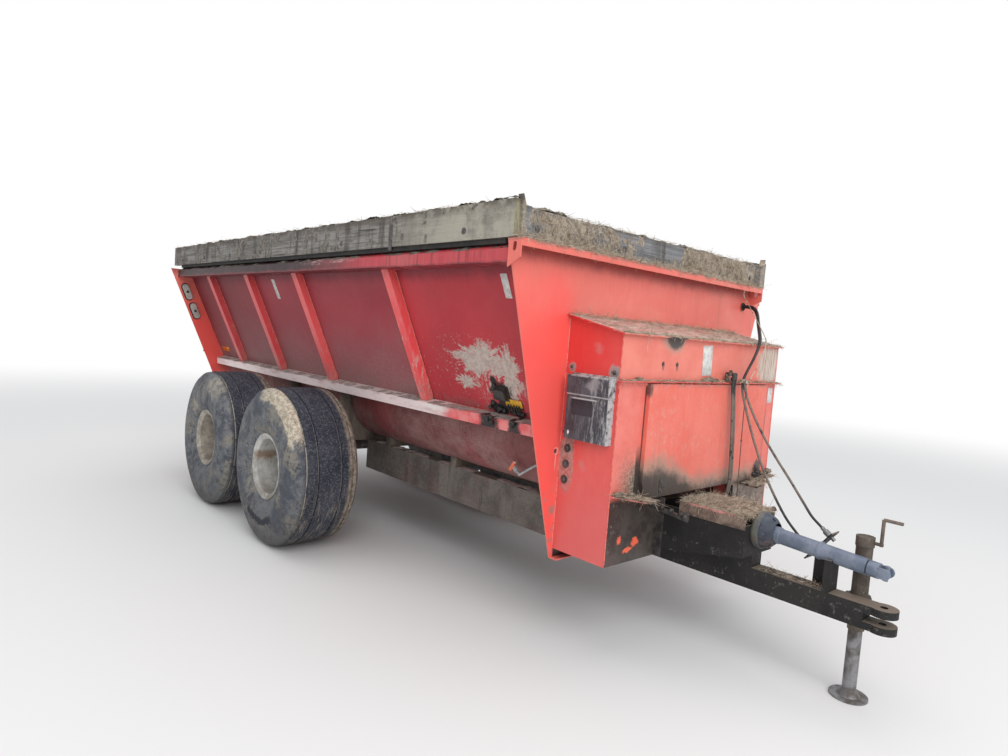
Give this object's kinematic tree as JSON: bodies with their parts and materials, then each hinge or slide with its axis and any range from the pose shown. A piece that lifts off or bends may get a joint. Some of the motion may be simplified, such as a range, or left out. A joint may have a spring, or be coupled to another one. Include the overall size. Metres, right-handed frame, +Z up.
{
  "type": "side-discharge manure spreader",
  "caption": "Towed farm spreader: a V-shaped tank with augers in its trough on walking beams and flotation tyres, a hammer expeller at the left front and a short tongue with a drive shaft.",
  "frame": {"origin": "on the ground, under the middle of the object's box", "axes": "+X forward to the hitch, +Y to the machine's left, +Z up from the ground"},
  "size_m": [6.5099, 2.822, 2.2383],
  "materials": {
    "dark_red_paint": "weathered and stained",
    "red_paint": "worn",
    "muddy_steel": "caked with dry dirt",
    "worn_steel": "worn",
    "plank": "weathered",
    "black_rubber": "matte",
    "tyre_rubber": "dusty",
    "rim_paint": "dusty",
    "black_plastic": "scuffed",
    "grey_plastic": "scuffed",
    "twine_fibre": "frayed",
    "lamp_plastic": "dusty"
  },
  "bodies": {
    "root": {"right_side_sheet": "dark_red_paint", "left_side_sheet": "dark_red_paint", "top_rails": "dark_red_paint", "lower_rails": "dark_red_paint", "front_wall": "red_paint", "rear_wall": "red_paint", "side_ribs": "red_paint", "expeller_shell": "red_paint", "discharge_hood": "red_paint", "housing_shell": "red_paint", "housing_cover": "red_paint", "tongue_cover": "red_paint", "trough": "muddy_steel", "frame_beams": "muddy_steel", "cross_members": "muddy_steel", "saddle": "muddy_steel", "walking_beams": "muddy_steel", "tongue": "muddy_steel", "jack_tube": "muddy_steel", "bearings": "worn_steel", "pivot_shaft": "worn_steel", "grease_bank": "worn_steel", "crank_rod": "worn_steel", "supply_coupler": "worn_steel", "return_coupler": "worn_steel", "side_boards": "plank", "end_boards": "plank", "rubber_strips": "black_rubber", "supply_hose": "black_rubber", "return_hose": "black_rubber", "inner_drop_hose": "black_rubber", "outer_drop_hose": "black_rubber", "tie_twine": "twine_fibre", "document_box": "black_plastic", "door_cylinder": "black_plastic", "drive_bell": "grey_plastic", "drive_guard": "grey_plastic", "rear_lamps": "lamp_plastic"},
    "right_auger": {"right_auger_tube": "muddy_steel", "right_auger_flight": "muddy_steel"},
    "left_auger": {"left_auger_tube": "muddy_steel", "left_auger_flight": "muddy_steel"},
    "expeller": {"expeller_rotor": "muddy_steel", "expeller_hammers": "worn_steel"},
    "door": {"discharge_door": "red_paint", "door_rod": "worn_steel"},
    "lid": {"document_lid": "black_plastic"},
    "drive": {"drive_shaft": "worn_steel"},
    "jack": {"jack_leg": "worn_steel"},
    "front_right_wheel": {"front_right_tyre": "tyre_rubber", "front_right_rim": "rim_paint"},
    "front_left_wheel": {"front_left_tyre": "tyre_rubber", "front_left_rim": "rim_paint"},
    "rear_right_wheel": {"rear_right_tyre": "tyre_rubber", "rear_right_rim": "rim_paint"},
    "rear_left_wheel": {"rear_left_tyre": "tyre_rubber", "rear_left_rim": "rim_paint"}
  },
  "joints": [
    {"name": "front_right_wheel_turn", "type": "hinge", "parent": "root", "child": "front_right_wheel", "pos_m": [-0.305, -1.166, 0.551], "axis": [0, 1, 0], "continuous": true},
    {"name": "front_left_wheel_turn", "type": "hinge", "parent": "root", "child": "front_left_wheel", "pos_m": [-0.305, 1.166, 0.551], "axis": [0, 1, 0], "continuous": true},
    {"name": "rear_right_wheel_turn", "type": "hinge", "parent": "root", "child": "rear_right_wheel", "pos_m": [-1.539, -1.166, 0.551], "axis": [0, 1, 0], "continuous": true},
    {"name": "rear_left_wheel_turn", "type": "hinge", "parent": "root", "child": "rear_left_wheel", "pos_m": [-1.539, 1.166, 0.551], "axis": [0, 1, 0], "continuous": true},
    {"name": "right_auger_turn", "type": "hinge", "parent": "root", "child": "right_auger", "pos_m": [-0.63, -0.31, 1.04], "axis": [1, 0, 0], "continuous": true},
    {"name": "left_auger_turn", "type": "hinge", "parent": "root", "child": "left_auger", "pos_m": [-0.63, 0.31, 1.04], "axis": [1, 0, 0], "continuous": true},
    {"name": "expeller_turn", "type": "hinge", "parent": "root", "child": "expeller", "pos_m": [1.46, 0.715, 0.86], "axis": [1, 0, 0], "continuous": true},
    {"name": "door_slide", "type": "slide", "parent": "root", "child": "door", "axis": [0, 0.4096, 0.9123], "range_m": [0, 0.24]},
    {"name": "lid_hinge", "type": "hinge", "parent": "root", "child": "lid", "pos_m": [2.045, -0.749, 1.422], "axis": [1, 0, 0], "range_deg": [-80, 0]},
    {"name": "drive_turn", "type": "hinge", "parent": "root", "child": "drive", "pos_m": [2.59, 0, 0.7], "axis": [0.9976, 0, -0.0698], "continuous": true},
    {"name": "jack_slide", "type": "slide", "parent": "root", "child": "jack", "axis": [0, 0, 1], "range_m": [0, 0.25]}
  ],
  "couplings": [
    {"joint": "left_auger_turn", "follows": "right_auger_turn", "ratio": -1}
  ]
}
